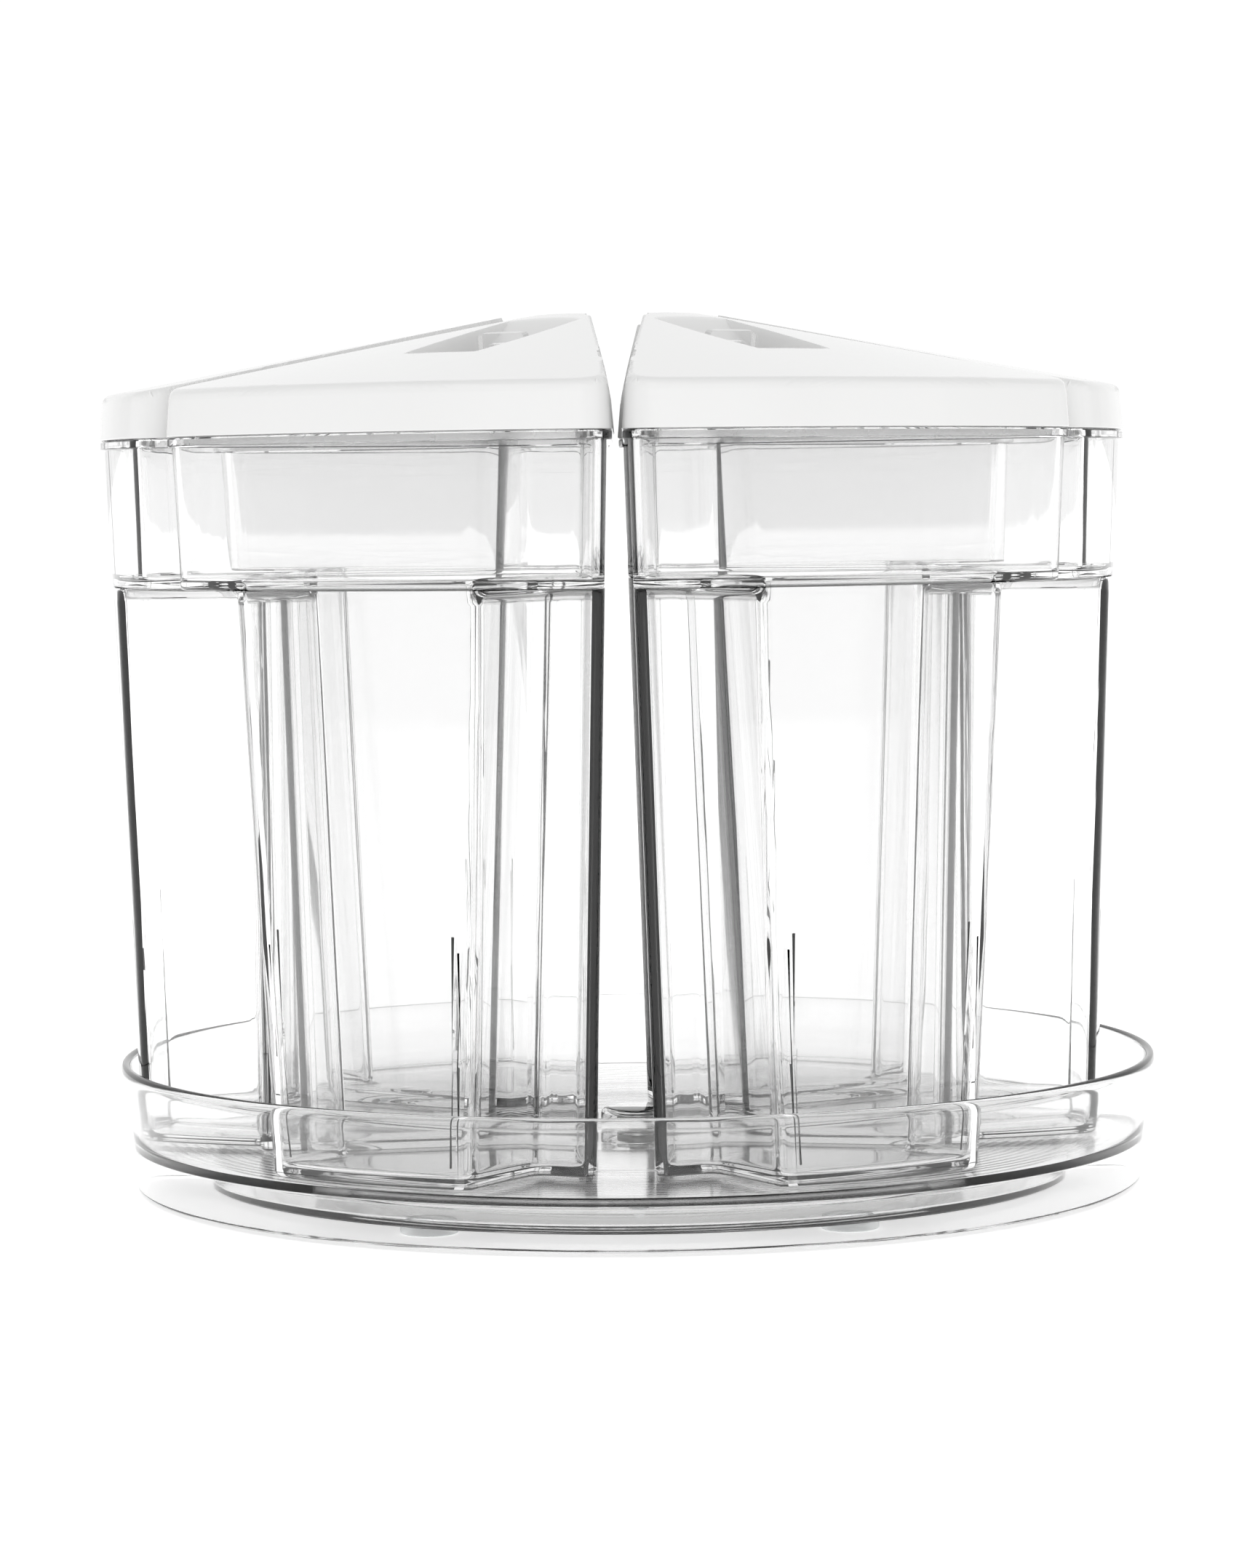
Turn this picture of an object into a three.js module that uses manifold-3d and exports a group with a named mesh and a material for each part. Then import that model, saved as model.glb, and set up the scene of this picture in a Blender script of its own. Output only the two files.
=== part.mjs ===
// Lazy susan turntable: a clear round tray that spins on a ball race and carries six wedge-shaped
// clear containers with white lids. Millimetres, +Z up, origin on the table under the spin axis.
import * as THREE from 'three';
import { mergeVertices } from 'three/addons/utils/BufferGeometryUtils.js';
import Module from 'manifold-3d';

const wasm = await Module();
wasm.setup();

// ---- Driving dimensions ----
const FIT_GAP = 0.3; // clearance between pieces that touch

// Tray
const LIP_RADIUS = 152; // a 12 inch class tray
const SKIRT_BOTTOM = 1.2; // the tray's skirt hangs just clear of the table
const FLOOR_TOP = 15.7;
const FLOOR_THICKNESS = 2.2;
const TRAY_WALL = 2.2;
const LIP_TOP = 37.6;

// The six wedges
const WEDGES = 6;
const HALF_ANGLE = Math.PI / WEDGES; // each wedge takes 60 degrees
const WEDGE_SHIFTS = [-6, -5, -5, -5.2, -3.5, -3.5]; // loose containers, each a little off centre along X

// Container
const STAND_GAP = 0.5; // container foot above the tray floor
const CONTAINER_BOTTOM = FLOOR_TOP + STAND_GAP;
const LEDGE_HEIGHT = 176.3; // underside of the ledge over each grip notch
const RIM_HEIGHT = 218.1; // container rim, where the lid sits
const FLANGE_HEIGHT = 2.5;
const CONTAINER_WALL = 2.6;
const FOOT_ROUND = 1.6; // rounding under the body
const OUTER_RADIUS = 141; // outer face at the bottom
const OUTER_DRAFT = 0.0367; // 2.1 degrees
const OUTER_ROUND = 9;
const SIDE_GAP = 8; // from the flank to the wedge's edge, at the bottom
const SIDE_DRAFT = 0.0261; // 1.5 degrees
const TIP_DISTANCE = 39; // blunt inner end, from the centre of the set
const TIP_DRAFT = 0.035;
const TIP_ROUND = 7;
const BAND_HALF_WIDTH = 32.2; // the central band between the two grip notches
const BAND_DRAFT = 0.0425;
const NOTCH_DISTANCE = 102.5; // flat back wall of the grip notches
const GRIP_ROUND = 3;
const CUTTER_REACH = 80; // cutters run this far past the body
const CUTTER_OVERRUN = 5;

// Lid
const LID_RADIUS = 149.8;
const LID_GAP = 1.1; // from the lid's edge to the wedge's edge
const LID_TIP = 27.5;
const LID_OUTER_ROUND = 10.5;
const LID_TIP_ROUND = 6.5;
const LID_WALL = 2.2;
const LID_BOTTOM = RIM_HEIGHT + FIT_GAP;
const SKIRT_TOP = 230.6;
const SKIRT_DRAFT = 0.08;
const CONE_SLOPE = 0.19; // all six lid tops lie on one cone
const CONE_FOOT = 152; // the cone meets the skirt's top level here
const CREST_HEIGHT = 256; // the raised top is drawn up to here, then cut by the cone
const FLANK_SLOPE = 0.25; // flanks of the raised top lean in
const TIP_SLOPE = 0.15; // and so does its inner end

// Finger scoop in the lid, and the bar across it
const SCOOP_CENTRE = 69.2;
const SCOOP_HALF_WIDTH = 12.6;
const SCOOP_RADIUS = 53;
const SCOOP_DEPTH = 8;
const PULL_DISTANCE = 64;
const PULL_LENGTH = 15;
const PULL_THICKNESS = 3;
const PULL_STANDOFF = 1.2; // keeps the posts clear of the scoop's round floor

// Liner under the lid, with its plug, and the gasket round the plug
const LINER_BOTTOM = RIM_HEIGHT + 0.4;
const LINER_THICKNESS = 1.8;
const LINER_GAP = 0.5;
const PLUG_BOTTOM = 216;
const PLUG_INSET = 2.6; // plug's outer face, in from the mouth
const PLUG_WALL = 2;
const GASKET_INSET = 0.6;
const GASKET_WALL = 1.7;

// Ball race, base and pivot
const RACE_RADIUS = 91;
const RACE_HALF_WIDTH = 5;
const TRACK_HALF_WIDTH = 3;
const TRACK_RIM = 1.6;
const BALLS = 12;
const BALL_RADIUS = 2.4;
const BALL_HEIGHT = 7.8;
const BALL_HOLE_GAP = 0.4;
const CAGE_HALF_WIDTH = 4;
const CAGE_HALF_HEIGHT = 0.75;
const FEET = 6;
const FOOT_RADIUS = 8;
const FOOT_HEIGHT = 2.5;
const FOOT_DISTANCE = 115;
const BASE_RADIUS = 125;
const BASE_WALL = 2.2;
const BASE_RIM_TOP = 9.5;
const BASE_BOTTOM = FOOT_HEIGHT + FIT_GAP;
const BASE_TOP = BASE_BOTTOM + BASE_WALL;
const HUB_WALL = 6;
const HUB_TOP = 12.6;
const PIN_RADIUS = 3;
const PIN_BOTTOM = 0.9;
const PIN_HEAD_RADIUS = 6;
const PIN_TOP = FLOOR_TOP + 2.8;
const GROOVE_DEPTH = 0.9;
const GROOVE_BOTTOM = FLOOR_TOP + 0.4;
const GROOVE_TOP = FLOOR_TOP + 2;
const CLIP_THICKNESS = 1;
const CLIP_OUTER_RADIUS = 6.4;
const CLIP_GAP_ANGLE = 0.45;
const CAP_RADIUS = 11;
const CAP_WALL = 1.4;
const CAP_HEIGHT = 4.8;

// ---- Materials ----
const clearPlastic = new THREE.MeshStandardMaterial({
  color: 0xeef2f3, roughness: 0.05, metalness: 0, transparent: true, opacity: 0.35,
});
const whitePlastic = new THREE.MeshStandardMaterial({ color: 0xf4f4f3, roughness: 0.15, metalness: 0 });
const satinWhite = new THREE.MeshStandardMaterial({ color: 0xeeeeec, roughness: 0.45, metalness: 0 });
const silicone = new THREE.MeshStandardMaterial({ color: 0xe3e5e4, roughness: 0.5, metalness: 0 });
const footRubber = new THREE.MeshStandardMaterial({ color: 0x8d9193, roughness: 0.7, metalness: 0 });
const ballSteel = new THREE.MeshStandardMaterial({ color: 0xc9cccf, roughness: 0.2, metalness: 1 });

// ---- Solids ----
function toSolid(geometry) {
  const bare = geometry.clone();
  bare.deleteAttribute('normal');
  bare.deleteAttribute('uv');
  const merged = mergeVertices(bare, 1e-4);
  return new wasm.Manifold(new wasm.Mesh({
    numProp: 3,
    vertProperties: new Float32Array(merged.attributes.position.array),
    triVerts: new Uint32Array(merged.index.array),
  }));
}

function toGeometry(solid) {
  const { vertProperties, triVerts } = solid.getMesh();
  const geometry = new THREE.BufferGeometry();
  geometry.setAttribute('position', new THREE.BufferAttribute(new Float32Array(vertProperties), 3));
  geometry.setIndex(new THREE.BufferAttribute(new Uint32Array(triVerts), 1));
  geometry.computeVertexNormals();
  return geometry;
}

function piece(name, geometry, material) {
  const mesh = new THREE.Mesh(geometry, material);
  mesh.name = name;
  return mesh;
}

// Rounds the corners of a closed outline. A corner is { x, y, r, n }: r its radius, n its steps.
function rounded(corners) {
  const points = [];
  corners.forEach((corner, i) => {
    const at = new THREE.Vector2(corner.x, corner.y);
    if (!corner.r) {
      points.push(at);
      return;
    }
    const before = corners[(i + corners.length - 1) % corners.length];
    const after = corners[(i + 1) % corners.length];
    const back = new THREE.Vector2(before.x, before.y).sub(at).normalize();
    const ahead = new THREE.Vector2(after.x, after.y).sub(at).normalize();
    const half = Math.acos(THREE.MathUtils.clamp(back.dot(ahead), -1, 1)) / 2;
    const middle = back.clone().add(ahead).normalize().multiplyScalar(corner.r / Math.sin(half));
    const centre = at.clone().add(middle);
    const start = at.clone().addScaledVector(back, corner.r / Math.tan(half)).sub(centre);
    const turn = Math.PI - 2 * half;
    const sense = Math.sign(ahead.cross(back));
    for (let k = 0; k <= corner.n; k += 1) {
      const spoke = start.clone().rotateAround(new THREE.Vector2(), (sense * turn * k) / corner.n);
      points.push(centre.clone().add(spoke));
    }
  });
  return points;
}

// A closed solid through outlines of equal point counts, each given as [height, outline].
function loft(levels) {
  const count = levels[0][1].length;
  const positions = levels.flatMap(([z, outline]) => outline.flatMap((p) => [p.x, p.y, z]));
  const faces = [];
  for (let level = 0; level < levels.length - 1; level += 1) {
    for (let i = 0; i < count; i += 1) {
      const a = level * count + i;
      const b = level * count + ((i + 1) % count);
      faces.push(a, b, b + count, a, b + count, a + count);
    }
  }
  const top = (levels.length - 1) * count;
  THREE.ShapeUtils.triangulateShape(levels[0][1], []).forEach(([a, b, c]) => faces.push(a, c, b));
  THREE.ShapeUtils.triangulateShape(levels.at(-1)[1], []).forEach(([a, b, c]) => {
    faces.push(top + a, top + b, top + c);
  });
  const geometry = new THREE.BufferGeometry();
  geometry.setAttribute('position', new THREE.Float32BufferAttribute(positions, 3));
  geometry.setIndex(faces);
  return geometry;
}

// Half the wedge's width at a distance from the centre, less the gap square to its edge.
function halfWidth(distance, gap) {
  return distance * Math.tan(HALF_ANGLE) - gap / Math.cos(HALF_ANGLE);
}

// Points of an arc about the centre, between two lateral places, ends left out.
function arcPoints(radius, from, to, steps) {
  const start = Math.asin(from / radius);
  const end = Math.asin(to / radius);
  const points = [];
  for (let k = 1; k < steps; k += 1) {
    const angle = start + ((end - start) * k) / steps;
    points.push({ x: radius * Math.cos(angle), y: radius * Math.sin(angle) });
  }
  return points;
}

// Where a wedge's flank meets its outer arc.
function outerCorner(radius, gap) {
  const edge = Math.asin(gap / radius);
  const angle = HALF_ANGLE - edge;
  return { x: radius * Math.cos(angle), y: radius * Math.sin(angle) };
}

function wedgeOutline({ radius, gap, tip, outerRound, tipRound }) {
  const corner = outerCorner(radius, gap);
  const width = halfWidth(tip, gap);
  return rounded([
    { x: tip, y: -width, r: tipRound, n: 2 },
    { x: corner.x, y: -corner.y, r: outerRound, n: 3 },
    ...arcPoints(radius, -corner.y, corner.y, 6),
    { x: corner.x, y: corner.y, r: outerRound, n: 3 },
    { x: tip, y: width, r: tipRound, n: 2 },
  ]);
}

// ---- Container ----
// The body's section at a height, taken in by an inset for the inside of its wall.
function bodyOutline(z, inset) {
  const rise = z - CONTAINER_BOTTOM;
  return wedgeOutline({
    radius: OUTER_RADIUS + OUTER_DRAFT * rise - inset,
    gap: SIDE_GAP - SIDE_DRAFT * rise + inset,
    tip: TIP_DISTANCE - TIP_DRAFT * rise + inset,
    outerRound: OUTER_ROUND - inset,
    tipRound: Math.max(1, TIP_ROUND - inset),
  });
}

// Cuts one outer corner back to a flat wall, up to the ledge. Two of them leave the central band.
function gripCutter(side, inset, bottom, ledge) {
  const section = (z) => {
    const wall = NOTCH_DISTANCE - inset;
    const band = BAND_HALF_WIDTH + BAND_DRAFT * (z - CONTAINER_BOTTOM) - inset;
    const corners = [
      { x: wall, y: side * band, r: GRIP_ROUND + inset, n: 3 },
      { x: wall + CUTTER_REACH, y: side * band },
      { x: wall + CUTTER_REACH, y: side * (band + CUTTER_REACH) },
      { x: wall, y: side * (band + CUTTER_REACH) },
    ];
    return rounded(side > 0 ? corners : corners.reverse());
  };
  return toSolid(loft([[bottom, section(bottom)], [ledge, section(ledge)]]));
}

function bodySolid(inset, bottom, ledge, top) {
  const body = toSolid(loft([
    [bottom, bodyOutline(bottom, inset + FOOT_ROUND)],
    [bottom + FOOT_ROUND, bodyOutline(bottom + FOOT_ROUND, inset)],
    [top, bodyOutline(top, inset)],
  ]));
  const below = bottom - CUTTER_OVERRUN;
  return body.subtract(gripCutter(1, inset, below, ledge)).subtract(gripCutter(-1, inset, below, ledge));
}

function containerGeometry() {
  const rim = wedgeOutline(lidSize(FIT_GAP));
  const flange = toSolid(loft([[RIM_HEIGHT - FLANGE_HEIGHT, rim], [RIM_HEIGHT, rim]]));
  const outside = bodySolid(0, CONTAINER_BOTTOM, LEDGE_HEIGHT, RIM_HEIGHT - FLANGE_HEIGHT / 2);
  const floor = CONTAINER_BOTTOM + CONTAINER_WALL;
  const top = RIM_HEIGHT + CUTTER_OVERRUN;
  const inside = bodySolid(CONTAINER_WALL, floor, LEDGE_HEIGHT + CONTAINER_WALL, top);
  return toGeometry(outside.add(flange).subtract(inside));
}

// ---- Lid ----
function lidSize(inset) {
  return {
    radius: LID_RADIUS - inset,
    gap: LID_GAP + inset,
    tip: LID_TIP + inset,
    outerRound: LID_OUTER_ROUND - inset,
    tipRound: LID_TIP_ROUND - inset,
  };
}

// Everything above the shared cone, lowered by a drop for the inside of the lid.
function coneCutter(drop) {
  const reach = LID_RADIUS + CUTTER_REACH;
  const ceiling = CREST_HEIGHT + CUTTER_REACH;
  const height = (r) => SKIRT_TOP + CONE_SLOPE * (CONE_FOOT - r) - drop;
  return toSolid(lathe([[0, height(0)], [reach, height(reach)], [reach, ceiling], [0, ceiling]], 72));
}

// The finger scoop: a round-bottomed cut across the lid, square to the cone.
function scoopCutter(extra) {
  const tilt = Math.atan(CONE_SLOPE);
  const surface = SKIRT_TOP + CONE_SLOPE * (CONE_FOOT - SCOOP_CENTRE);
  const lift = SCOOP_RADIUS - SCOOP_DEPTH;
  const length = 2 * (SCOOP_HALF_WIDTH + extra);
  const radius = SCOOP_RADIUS + extra;
  const cutter = new THREE.CylinderGeometry(radius, radius, length, 48);
  cutter.translate(SCOOP_CENTRE + lift * Math.sin(tilt), 0, surface + lift * Math.cos(tilt));
  return toSolid(cutter);
}

function raisedSolid(inset, bottom, step) {
  const rise = CREST_HEIGHT - step;
  const shoulder = lidSize(inset + SKIRT_DRAFT * (SKIRT_TOP - LID_BOTTOM));
  const crest = {
    radius: shoulder.radius,
    gap: shoulder.gap + FLANK_SLOPE * rise,
    tip: shoulder.tip + TIP_SLOPE * rise,
    outerRound: 3,
    tipRound: 2,
  };
  return toSolid(loft([
    [bottom, wedgeOutline(lidSize(inset))],
    [step, wedgeOutline(shoulder)],
    [CREST_HEIGHT, wedgeOutline(crest)],
  ]));
}

function lidGeometry() {
  const outside = raisedSolid(0, LID_BOTTOM, SKIRT_TOP).subtract(coneCutter(0)).subtract(scoopCutter(0));
  const inside = raisedSolid(LID_WALL, LID_BOTTOM - CUTTER_OVERRUN, SKIRT_TOP - 1)
    .subtract(coneCutter(LID_WALL))
    .subtract(scoopCutter(LID_WALL));
  return toGeometry(outside.subtract(inside));
}

// The liner closes the lid from below, and its plug reaches into the container's mouth.
function ring(inset, wall, bottom, top) {
  const outer = bodyOutline(RIM_HEIGHT, CONTAINER_WALL + inset);
  const inner = bodyOutline(RIM_HEIGHT, CONTAINER_WALL + inset + wall);
  const solid = toSolid(loft([[bottom, outer], [top, outer]]));
  return solid.subtract(toSolid(loft([[bottom - 1, inner], [top + 1, inner]])));
}

function linerGeometry() {
  const plate = wedgeOutline(lidSize(LID_WALL + LINER_GAP));
  const cover = toSolid(loft([[LINER_BOTTOM, plate], [LINER_BOTTOM + LINER_THICKNESS, plate]]));
  return toGeometry(cover.add(ring(PLUG_INSET, PLUG_WALL, PLUG_BOTTOM, LINER_BOTTOM + LINER_GAP)));
}

function gasketGeometry() {
  return toGeometry(ring(GASKET_INSET, GASKET_WALL, PLUG_BOTTOM + LINER_GAP, LINER_BOTTOM - FIT_GAP));
}

// A small bar on two posts, standing in the scoop, its top level with the cone.
function pullGeometry() {
  const top = SKIRT_TOP + CONE_SLOPE * (CONE_FOOT - PULL_DISTANCE);
  const half = PULL_LENGTH / 2;
  const bottom = PULL_STANDOFF - SCOOP_DEPTH;
  const outline = rounded([
    { x: -half, y: bottom },
    { x: -half + PULL_THICKNESS, y: bottom },
    { x: -half + PULL_THICKNESS, y: -PULL_THICKNESS, r: 0.8, n: 2 },
    { x: half - PULL_THICKNESS, y: -PULL_THICKNESS, r: 0.8, n: 2 },
    { x: half - PULL_THICKNESS, y: bottom },
    { x: half, y: bottom },
    { x: half, y: 0, r: 1.4, n: 3 },
    { x: -half, y: 0, r: 1.4, n: 3 },
  ]);
  const bar = new THREE.ExtrudeGeometry(new THREE.Shape(outline), {
    depth: PULL_THICKNESS, bevelEnabled: false,
  });
  bar.translate(0, 0, -PULL_THICKNESS / 2);
  bar.rotateX(Math.PI / 2);
  bar.rotateZ(Math.PI / 2);
  bar.rotateY(Math.atan(CONE_SLOPE));
  return bar.translate(PULL_DISTANCE, 0, top - 0.2);
}

// ---- Turntable ----
// A solid of revolution. The profile either starts and ends on the axis or closes on itself.
function lathe(profile, segments) {
  const points = profile.map(([r, z]) => new THREE.Vector2(r, z));
  const closed = profile[0][0] === 0 ? points : [...points, points[0].clone()];
  return new THREE.LatheGeometry(closed, segments).rotateX(Math.PI / 2);
}

function trayGeometry() {
  const under = FLOOR_TOP - FLOOR_THICKNESS;
  const race = BALL_HEIGHT + BALL_RADIUS + FIT_GAP;
  const hole = PIN_RADIUS + FIT_GAP;
  const wall = LIP_RADIUS - 2.9; // outer face just above the floor
  return lathe([
    [hole, under],
    [RACE_RADIUS - RACE_HALF_WIDTH, under],
    [RACE_RADIUS - RACE_HALF_WIDTH, race],
    [RACE_RADIUS + RACE_HALF_WIDTH, race],
    [RACE_RADIUS + RACE_HALF_WIDTH, under],
    [wall - TRAY_WALL - 0.6, under],
    [wall - TRAY_WALL - 1, SKIRT_BOTTOM],
    [wall - 1.8, SKIRT_BOTTOM],
    [wall - 1.1, SKIRT_BOTTOM + 1.2],
    [wall, 17.9],
    [wall + 0.9, 25.2],
    [LIP_RADIUS - 0.6, 32.5],
    [LIP_RADIUS, 35],
    [LIP_RADIUS, 36.6],
    [LIP_RADIUS - 0.9, LIP_TOP],
    [LIP_RADIUS - 2.2, LIP_TOP - 0.3],
    [LIP_RADIUS - 3.4, LIP_TOP - 3],
    [wall + 0.9 - TRAY_WALL, 25.2],
    [wall - TRAY_WALL, 17.9],
    [wall - TRAY_WALL - 1.2, FLOOR_TOP],
    [hole, FLOOR_TOP],
  ], 72);
}

function basePlateGeometry() {
  const bore = PIN_RADIUS + FIT_GAP;
  const track = BALL_HEIGHT - BALL_RADIUS - FIT_GAP;
  const trackRim = BASE_TOP + TRACK_RIM;
  return lathe([
    [bore, BASE_BOTTOM],
    [BASE_RADIUS, BASE_BOTTOM],
    [BASE_RADIUS, BASE_RIM_TOP],
    [BASE_RADIUS - BASE_WALL, BASE_RIM_TOP],
    [BASE_RADIUS - BASE_WALL, BASE_TOP],
    [RACE_RADIUS + RACE_HALF_WIDTH, BASE_TOP],
    [RACE_RADIUS + RACE_HALF_WIDTH, trackRim],
    [RACE_RADIUS + TRACK_HALF_WIDTH + 0.4, trackRim],
    [RACE_RADIUS + TRACK_HALF_WIDTH, track],
    [RACE_RADIUS - TRACK_HALF_WIDTH, track],
    [RACE_RADIUS - TRACK_HALF_WIDTH - 0.4, trackRim],
    [RACE_RADIUS - RACE_HALF_WIDTH, trackRim],
    [RACE_RADIUS - RACE_HALF_WIDTH, BASE_TOP],
    [bore + HUB_WALL, BASE_TOP],
    [bore + HUB_WALL, HUB_TOP],
    [bore, HUB_TOP],
  ], 56);
}

function cageGeometry() {
  const inner = RACE_RADIUS - CAGE_HALF_WIDTH;
  const outer = RACE_RADIUS + CAGE_HALF_WIDTH;
  const bottom = BALL_HEIGHT - CAGE_HALF_HEIGHT;
  const top = BALL_HEIGHT + CAGE_HALF_HEIGHT;
  let cage = toSolid(lathe([[inner, bottom], [outer, bottom], [outer, top], [inner, top]], 48));
  for (let i = 0; i < BALLS; i += 1) {
    const angle = (2 * Math.PI * i) / BALLS;
    const radius = BALL_RADIUS + BALL_HOLE_GAP;
    const hole = new THREE.CylinderGeometry(radius, radius, 2 * BALL_RADIUS, 10);
    hole.rotateX(Math.PI / 2);
    hole.translate(RACE_RADIUS * Math.cos(angle), RACE_RADIUS * Math.sin(angle), BALL_HEIGHT);
    cage = cage.subtract(toSolid(hole));
  }
  return toGeometry(cage);
}

// Headed pin through the base, with a groove for the clip above the tray floor.
function pinGeometry() {
  const chamfer = 0.5;
  return lathe([
    [0, PIN_BOTTOM],
    [PIN_HEAD_RADIUS, PIN_BOTTOM],
    [PIN_HEAD_RADIUS, BASE_BOTTOM - FIT_GAP],
    [PIN_RADIUS, BASE_BOTTOM - FIT_GAP],
    [PIN_RADIUS, GROOVE_BOTTOM],
    [PIN_RADIUS - GROOVE_DEPTH, GROOVE_BOTTOM],
    [PIN_RADIUS - GROOVE_DEPTH, GROOVE_TOP],
    [PIN_RADIUS, GROOVE_TOP],
    [PIN_RADIUS - chamfer, PIN_TOP],
    [0, PIN_TOP],
  ], 24);
}

// Open ring that snaps into the pin's groove.
function clipGeometry() {
  const inner = PIN_RADIUS - GROOVE_DEPTH + FIT_GAP;
  const shape = new THREE.Shape();
  shape.absarc(0, 0, CLIP_OUTER_RADIUS, CLIP_GAP_ANGLE, 2 * Math.PI - CLIP_GAP_ANGLE, false);
  shape.absarc(0, 0, inner, 2 * Math.PI - CLIP_GAP_ANGLE, CLIP_GAP_ANGLE, true);
  const clip = new THREE.ExtrudeGeometry(shape, {
    depth: CLIP_THICKNESS, bevelEnabled: false, curveSegments: 12,
  });
  return clip.translate(0, 0, GROOVE_BOTTOM + FIT_GAP);
}

// Low cap over the pin and clip.
function capGeometry() {
  const bottom = FLOOR_TOP + FIT_GAP;
  const ceiling = bottom + CAP_HEIGHT - CAP_WALL;
  const shoulder = 1.2;
  return lathe([
    [0, ceiling],
    [CAP_RADIUS - CAP_WALL, ceiling],
    [CAP_RADIUS - CAP_WALL, bottom],
    [CAP_RADIUS, bottom],
    [CAP_RADIUS, ceiling],
    [CAP_RADIUS - shoulder, ceiling + shoulder],
    [0, bottom + CAP_HEIGHT],
  ], 32);
}

// ---- Assembly ----
const turntable = new THREE.Group();

function addBase() {
  turntable.add(piece('base_plate', basePlateGeometry(), clearPlastic));
  turntable.add(piece('pivot_pin', pinGeometry(), satinWhite));
  for (let i = 0; i < FEET; i += 1) {
    const foot = piece(`foot_${i + 1}`, new THREE.CylinderGeometry(FOOT_RADIUS, FOOT_RADIUS, FOOT_HEIGHT, 20),
      footRubber);
    const angle = (2 * Math.PI * i) / FEET;
    foot.rotation.x = Math.PI / 2;
    foot.position.set(FOOT_DISTANCE * Math.cos(angle), FOOT_DISTANCE * Math.sin(angle), FOOT_HEIGHT / 2);
    turntable.add(foot);
  }
}

function addRace() {
  turntable.add(piece('ball_cage', cageGeometry(), satinWhite));
  for (let i = 0; i < BALLS; i += 1) {
    const angle = (2 * Math.PI * i) / BALLS;
    const ball = piece(`ball_${i + 1}`, new THREE.SphereGeometry(BALL_RADIUS, 8, 6), ballSteel);
    ball.rotation.z = angle;
    ball.position.set(RACE_RADIUS * Math.cos(angle), RACE_RADIUS * Math.sin(angle), BALL_HEIGHT);
    turntable.add(ball);
  }
}

function addTray() {
  turntable.add(piece('tray', trayGeometry(), clearPlastic));
  turntable.add(piece('pivot_clip', clipGeometry(), satinWhite));
  turntable.add(piece('centre_cap', capGeometry(), clearPlastic));
}

function addContainers() {
  const shapes = {
    container: [containerGeometry(), clearPlastic],
    gasket: [gasketGeometry(), silicone],
    lid_liner: [linerGeometry(), satinWhite],
    lid: [lidGeometry(), whitePlastic],
    lid_pull: [pullGeometry(), clearPlastic],
  };
  for (let i = 0; i < WEDGES; i += 1) {
    const wedge = new THREE.Group();
    wedge.rotation.z = 2 * HALF_ANGLE * i;
    wedge.position.x = WEDGE_SHIFTS[i];
    Object.entries(shapes).forEach(([name, [geometry, material]]) => {
      wedge.add(piece(`${name}_${i + 1}`, geometry, material));
    });
    turntable.add(wedge);
  }
}

addBase();
addRace();
addTray();
addContainers();

export default turntable;
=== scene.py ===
import math

import bmesh
import bpy
from mathutils import Matrix, Vector
from mathutils.geometry import delaunay_2d_cdt


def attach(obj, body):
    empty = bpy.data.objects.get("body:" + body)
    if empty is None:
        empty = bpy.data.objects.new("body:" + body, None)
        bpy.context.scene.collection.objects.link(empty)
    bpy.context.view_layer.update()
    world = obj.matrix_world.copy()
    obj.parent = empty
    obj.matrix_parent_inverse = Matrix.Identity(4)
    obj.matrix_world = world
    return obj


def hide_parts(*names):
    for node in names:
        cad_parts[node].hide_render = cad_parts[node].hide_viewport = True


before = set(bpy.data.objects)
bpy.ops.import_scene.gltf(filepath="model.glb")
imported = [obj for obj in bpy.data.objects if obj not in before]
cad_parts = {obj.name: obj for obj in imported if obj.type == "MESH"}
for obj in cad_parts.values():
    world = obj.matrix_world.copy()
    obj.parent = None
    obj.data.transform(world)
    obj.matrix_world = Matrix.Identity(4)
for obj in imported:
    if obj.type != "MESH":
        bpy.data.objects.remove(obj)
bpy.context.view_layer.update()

# Lengths below are millimetres; meshes are made in metres.
MM = 0.001
WEDGES = 6
HALF_ANGLE = math.pi / WEDGES
WEDGE_SHIFTS = (-6, -5, -5, -5.2, -3.5, -3.5)  # loose containers, each a little off centre along X

# Base and race
FEET = 6
FOOT_DISTANCE = 115
BALLS = 12
BALL_RADIUS = 2.4
BALL_HEIGHT = 7.8
RACE_RADIUS = 91

# Container
BOTTOM = 16.2
OUTER_RADIUS = 141
OUTER_DRAFT = 0.0367
OUTER_ROUND = 9
SIDE_GAP = 8  # from the flank to the wedge's edge, at the bottom
SIDE_DRAFT = 0.0261
TIP_DISTANCE = 39
TIP_DRAFT = 0.035
TIP_ROUND = 7
BAND_HALF_WIDTH = 32.2  # the central band between the two grip notches
BAND_DRAFT = 0.0425
LEDGE = 176.3
RIM = 218.1
FLANGE = 2.5
WALL = 2.6
NOTCH = 102.5
LEDGE_ROUND = 3.2  # where the notch's walls turn into the ledge
SPLIT = NOTCH - 4.0  # outlines are sampled in stretches that meet here along x
LATERAL = 33.0  # and here across
CORNER_STEPS = 6  # faces round a rounded corner of an outline

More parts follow.
